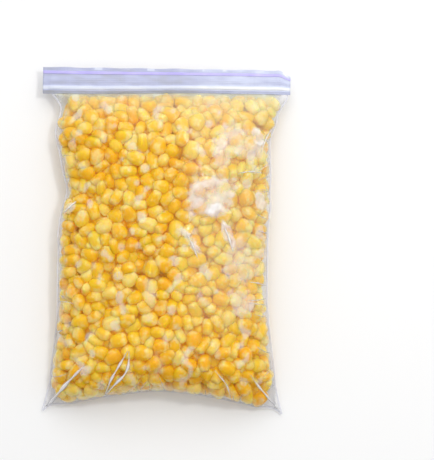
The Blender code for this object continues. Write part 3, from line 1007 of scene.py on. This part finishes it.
zipSettings = {
    "height": bagPlace["lipY"] - bagPlace["bandY"],
    "endWidth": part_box("right_zip_end")[1].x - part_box("right_zip_end")[0].x,
    "across": 170,
    "wall": 0.00025,
    "track": 0.0140,           # below the lip
    "line": (0.0028, 0.0050),  # pull line, from and to below the lip
    "trackRise": (0.0008, 0.0014, 0.00075),        # past the middle, half width, height over the track
    "ribs": (0.0078, 0.0092, 0.0106),
    "ribRise": (0.00028, 0.00016),
    "shelfRise": (0.0172, 0.0005, 0.00020),
    "thin": 0.00042,           # tape off the middle plane at the lip
    "steps": ((0.0050, 0.0050, 0.00078), (0.0170, 0.0030, -0.00045)),        # from, over, change
    "crush": (0.55, 0.00025),  # share of the relief and the height that the side weld takes
    "cornerDrop": 0.0050,      # the right lip corner slants down
    "cornerFrom": 0.0900,
    "skirt": 0.0019,           # the left part of the tapes hangs lower
    "lipReach": 0.0085,        # the lip flutters over this height
    # waves along the band: height, pace, start
    "wave": (0.00045, 41, 0.5),
    "flutter": ((0.00050, 123, 1.0), (0.00030, 290, 0.3)),
    "edgeWave": (0.00022, 210),
    # how pale each part is; glint is a painted glint on the lip, track the ridge's thicker plastic with a
    # painted highlight, and the line under the track painted shade
    "pale": {"left": 0.27, "middle": -0.03, "right": 0.22, "streaks": 0.05, "scratches": 0.04, "lip": 0.10,
             "glint": 0.4, "shelf": 0.10, "track": 0.44, "under": -0.30},
    "veilShare": 0.80,
    "lineLift": 0.00016,
    "lineWall": 0.00012,
    "edge": 0.0002,
    "tint": (0.90, 0.91, 0.98),
    "tones": ((0.0, (0.44, 0.45, 0.50)), (0.30, (0.54, 0.57, 0.78)), (0.60, (0.72, 0.77, 0.95)),
              (0.85, (0.84, 0.88, 0.99)), (1.0, (0.97, 0.98, 1.0))),
}


def bandPoint(x, s, h):        # s below the lip, h off the middle plane
    lipness = 1 - smooth(s / zipSettings["lipReach"])
    drop = zipSettings["cornerDrop"] * smooth((x - zipSettings["cornerFrom"]) / 0.0100)
    skirt = zipSettings["skirt"] * smooth((0.030 - x) / 0.10) * smooth(s / zipSettings["height"])
    y = bagPlace["lipY"] - s - skirt - drop * np.maximum(1 - s / zipSettings["height"], 0) ** 1.5
    tall, pace, start = zipSettings["wave"]
    wave = tall * np.sin(x * pace + start) * (1 - 0.7 * s / zipSettings["height"])
    flutter = sum(tall * np.sin(x * pace + start) for tall, pace, start in zipSettings["flutter"]) * lipness
    tall, pace = zipSettings["edgeWave"]
    y = y + tall * np.sin(x * pace) * lipness * (1 - smooth(s / 0.003))
    return np.stack([x + 0 * s, y, bagPlace["bandZ"] + h + wave + flutter], axis=-1)


def swell(s, middle, half, power=2):        # a smooth rise around one place
    return np.exp(-((s - middle) / half) ** power)


def tapeHeight(s, x):        # outer face of a tape off the middle plane
    base = zipSettings["thin"] + sum(up * smooth((s - at) / over) for at, over, up in zipSettings["steps"])
    past, half, up = zipSettings["trackRise"]
    relief = up * swell(s, zipSettings["track"] + past, half, 4)
    half, up = zipSettings["ribRise"]
    relief = relief + sum(up * swell(s, at, half) for at in zipSettings["ribs"])
    at, half, up = zipSettings["shelfRise"]
    relief = relief + up * swell(s, at, half)
    lost, lower = zipSettings["crush"]
    crushed = smooth((np.abs(x) - bagPlace["halfFlat"] + 1.6 * zipSettings["endWidth"]) / 0.002)
    return base + relief * (1 - lost * crushed) - lower * crushed


def tapeGrid(reach, sFrom, sTo, rows, side, offset=0.0):
    s = np.linspace(sTo, sFrom, rows)[:, None]
    x = np.linspace(-reach, reach, zipSettings["across"] + 1)[None, :]
    s, x = np.broadcast_arrays(s, x)
    if side < 0:
        x = x[:, ::-1]
    return bandPoint(x, s, side * (tapeHeight(s, x) + offset)), s, x


def zipBar(name, outline):        # a track, drawn along the band between the crushed ends
    reach = bagPlace["halfFlat"] - zipSettings["endWidth"]
    loops = []
    for x in np.linspace(-reach, reach, 90):
        loops.append([bandPoint(x, np.float64(s), h) for s, h in outline])
    return addPiece(name, loftMesh(name, loops, 0.8, 0.5), track)


def bandTone(x, s):        # how pale the band is, 0 to 1, with painted glints on the lip, a painted highlight on the track and painted shade below it
    pale = zipSettings["pale"]
    base = pale["left"] + pale["middle"] * smooth((x + 0.02) / 0.02)
    base = base + pale["right"] * smooth((x - 0.012) / 0.03)
    streak = pale["streaks"] * ripple(x, 8 * s, 21, 0.050) + pale["scratches"] * ripple(x, 3 * s, 22, 0.012)
    lip = pale["lip"] * smooth((x + 0.03) / 0.03) * (1 - smooth((s - 0.0012) / 0.0018))
    # painted glints along the lip
    glint = smooth((ripple(x, 0 * s, 23, 0.013) - 0.90) / 0.3) * (1 - smooth((s - 0.0012) / 0.0010))
    shelf = pale["shelf"] * smooth((s - 0.0115) / 0.003)
    # paler along the track: its thicker plastic and a painted highlight
    track = pale["track"] * swell(s, zipSettings["track"] + 0.0010, 0.0016, 4)
    # painted shade: a darker line under the track
    under = pale["under"] * swell(s, 0.0184, 0.0021, 4) * (1 - 0.35 * smooth((x - 0.02) / 0.03))
    return np.clip(base + streak + lip + pale["glint"] * glint + shelf + track + under, 0, 1)


def zipEnd(name, xFrom, xTo):        # core of the zip crushed flat between the tapes by the side weld
    loops, tone = [], []
    height = zipSettings["height"]
    for x in np.linspace(xFrom, xTo, 7):
        outline = [(s, 0.00022 + 0.00020 * math.exp(-((s - zipSettings["track"]) / 0.002) ** 2))
                   for s in np.linspace(0.0040, height - 0.0010, 12)]
        outline += [(s, -h) for s, h in reversed(outline)]
        loops.append([bandPoint(x, np.float64(s), h) for s, h in outline])
        tone.append([bandTone(x, s) for s, h in outline])
    return loftMesh(name, loops, 0.85, np.ravel(tone))


skin = kernelSkin()
packed = packKernels()
kindObjects = []
for number, kind in enumerate(kernelSettings["kinds"]):
    kindName = f"kernelKind{number}"
    kindObjects.append(addObject(kindName, kernelMesh(kindName, kind)))
byHeight = np.argsort(packed[0][:, 2], kind="stable")
half = len(byHeight) // 2
lowerKernels = plantKernels("lowerKernels", byHeight[:half], packed, kindObjects, skin)
upperKernels = plantKernels("upperKernels", byHeight[half:], packed, kindObjects, skin)
for sample in kindObjects:
    bpy.data.objects.remove(sample)
print("kernels planted")

probe = kernelProbe([lowerKernels, upperKernels])
flatFront = filmGrid(filmSettings["across"], filmSettings["along"], True)
frontPoints = drapeFilm(flatFront, probe, loosePlaces)
flatBack = filmGrid(filmSettings["backAcross"], filmSettings["backAlong"], False)[:, ::-1]
backPoints = drapeFilm(flatBack, probe, ())
print("film draped")

clearTint, clearTones = filmSettings["tint"], filmSettings["tones"]
# the front film's veil carries painted light: an orange fill over the gaps and the white of painted glare
frontFilmPaintedLight = sheerPlastic("frontFilmPaintedLight", clearTint, filmSettings["frontVeilTones"], (0.10, 0.22), (0.007, 0.75), 130)
clear = sheerPlastic("clearFilm", clearTint, clearTones, (0.10, 0.22), (0.010, 0.75), 130)
fused = sheerPlastic("fusedFilm", weldSettings["tint"], clearTones, (0.15, 0.25), (0.03, 0.80), 200)
tape = sheerPlastic("milkyTape", zipSettings["tint"], zipSettings["tones"], (0.18, 0.30), (0.05, 0.60), 160)
track = plainPlastic("zipTrack", (0.66, 0.68, 0.86), (0.76, 0.78, 0.94), (0.2, 0.35))
violet = plainPlastic("violetLine", (0.48, 0.43, 0.88), (0.54, 0.50, 0.90), (0.3, 0.4))

wall = filmSettings["wall"]
frontMesh = sheetMesh("frontFilm", frontPoints, wall, *filmVeil(frontPoints))
frontFilm = addPiece("frontFilm", frontMesh, frontFilmPaintedLight)
even = np.ones(backPoints.shape[:2])
backMesh = sheetMesh("backFilm", backPoints, wall, filmSettings["backHaze"] * even, 0.5 * even)
backFilm = addPiece("backFilm", backMesh, clear)
filmShape = BVHTree.FromPolygons([v.co for v in frontFilm.data.vertices],
                                 [p.vertices for p in frontFilm.data.polygons])
creases = list(creaseSettings["routes"]) + seamCreases()
filmCreases = addPiece("filmCreases", creaseMesh("filmCreases", filmShape, creases), clear)

leftWeld = addPiece("leftWeld", weldBead("leftWeld", flatFront[::2, 0], -1), fused)
rightWeld = addPiece("rightWeld", weldBead("rightWeld", flatFront[::2, -1], 1), fused)
bottomWeld = addPiece("bottomWeld", weldBead("bottomWeld", flatFront[0, ::2], 1), fused)
print("welds run")


def tapePiece(name, sFrom, sTo, rows, side, offset, wall, veilShare, material):
    grid, s, x = tapeGrid(bagPlace["halfFlat"] - zipSettings["edge"], sFrom, sTo, rows, side, offset)
    return addPiece(name, sheetMesh(name, grid, wall, veilShare + 0 * x, bandTone(x, s)), material)


height, wall, veilShare = zipSettings["height"], zipSettings["wall"], zipSettings["veilShare"]
frontZipTape = tapePiece("frontZipTape", 0.0, height, 70, 1, 0.0, wall, veilShare, tape)
backZipTape = tapePiece("backZipTape", 0.0, height, 50, -1, 0.0, wall, veilShare, tape)
pullLine = tapePiece("pullLine", *zipSettings["line"], 6, 1, zipSettings["lineLift"],
                     zipSettings["lineWall"], 1.0, violet)
middle = zipSettings["track"]
channelOutline = [(middle + s, h) for s, h in (
    (-0.0017, 0.0008), (-0.0017, -0.0006), (-0.0006, -0.0006), (-0.0006, -0.0002), (-0.0010, -0.0002),
    (-0.0010, 0.0003), (0.0010, 0.0003), (0.0010, -0.0002), (0.0006, -0.0002), (0.0006, -0.0006),
    (0.0017, -0.0006), (0.0017, 0.0008))]
ribOutline = [(middle + s, h) for s, h in (
    (-0.0017, -0.0010), (-0.0017, -0.0008), (-0.0003, -0.0008), (-0.0003, 0.0), (-0.0007, 0.0),
    (0.0, 0.0002), (0.0007, 0.0), (0.0003, 0.0), (0.0003, -0.0008), (0.0017, -0.0008), (0.0017, -0.0010))]
zipChannel = zipBar("zipChannel", channelOutline)
zipRib = zipBar("zipRib", ribOutline)
endFrom = bagPlace["halfFlat"] - zipSettings["endWidth"] + 0.0001
endTo = bagPlace["halfFlat"] - 0.0004
leftZipEnd = addPiece("leftZipEnd", zipEnd("leftZipEnd", -endTo, -endFrom), tape)
rightZipEnd = addPiece("rightZipEnd", zipEnd("rightZipEnd", endFrom, endTo), tape)
print("zip made")

roles = (
    (lowerKernels, "kernel_fill", "kernels"),
    (upperKernels, "kernel_fill", "kernels"),
    (frontFilm, "front_film", "clear_film"),
    (filmCreases, "front_film", "clear_film"),
    (backFilm, "back_film", "clear_film"),
    (leftWeld, "left_side_weld", "weld"),
    (rightWeld, "right_side_weld", "weld"),
    (bottomWeld, "bottom_weld", "weld"),
    (frontZipTape, "front_zip_tape", "zip_tape"),
    (backZipTape, "back_zip_tape", "zip_tape"),
    (zipChannel, "zip_channel", "zip_track"),
    (zipRib, "zip_rib", "zip_track"),
    (pullLine, "pull_line", "pull_line"),
    (leftZipEnd, "left_zip_end", "zip_tape"),
    (rightZipEnd, "right_zip_end", "zip_tape"),
)
for piece, node, slotName in roles:
    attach(piece, "root")
    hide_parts(node)

studio = {
    "tall": 0.3695,            # what the view holds from top to bottom
    "cameraHeight": 1.25,
    "focusZ": 0.020,
    "aim": (0.0424, 0.0111),
    "roll": math.radians(0.9),
    # the sky is brightest towards this side
    "skyTowards": (0.03, 0.80, 0.60),
    "sky": (0.24, 1.12),
    # lamps: where, how wide, how strong
    "lamps": (("broadLamp", (0.06, 0.76, 0.90), 0.60, 2.45), ("glintLamp", (0.34, 0.30, 0.98), 0.12, 2.3)),
}


def buildSky():
    world = bpy.data.worlds.new("softStudio")
    world.use_nodes = True
    nodes = world.node_tree.nodes
    coords = nodes.new("ShaderNodeTexCoord")
    facing = addNode(nodes, "ShaderNodeVectorMath", {
        0: coords.outputs["Generated"], 1: Vector(studio["skyTowards"]).normalized()},
        operation="DOT_PRODUCT")
    glow = addNode(nodes, "ShaderNodeMapRange", {
        "Value": facing.outputs["Value"], "From Min": -0.6, "To Min": studio["sky"][0],
        "To Max": studio["sky"][1]})
    background = nodes["Background"]
    background.inputs["Color"].default_value = (1, 1, 1, 1)
    world.node_tree.links.new(glow.outputs["Result"], background.inputs["Strength"])
    bpy.context.scene.world = world


def buildStudio():
    floorMesh = bpy.data.meshes.new("floor")
    floorMesh.from_pydata([(-6, -6, 0), (6, -6, 0), (6, 6, 0), (-6, 6, 0)], [], [(0, 1, 2, 3)])
    made, nodes = newMaterial("paleFloor")
    finishWith(nodes, addNode(nodes, "ShaderNodeBsdfPrincipled", {
        "Base Color": (0.92, 0.92, 0.92, 1), "Roughness": 0.9, "Specular IOR Level": 0.0}))
    addPiece("floor", floorMesh, made)
    buildSky()
    for name, place, size, power in studio["lamps"]:
        light = bpy.data.lights.new(name, "AREA")
        light.size = size
        light.energy = power
        lamp = addObject(name, light)
        lamp.location = place
        lamp.rotation_euler = (-Vector(place)).to_track_quat("-Z", "Y").to_euler()
    lens = bpy.data.cameras.new("camera")
    camera = addObject("camera", lens)
    lens.lens = lens.sensor_width * studio["cameraHeight"] / studio["tall"]
    lens.clip_end = 20
    camera.location = (*studio["aim"], studio["focusZ"] + studio["cameraHeight"])
    camera.rotation_euler = (0, 0, studio["roll"])
    bpy.context.scene.camera = camera
    bpy.context.scene.view_settings.view_transform = "Standard"


buildStudio()
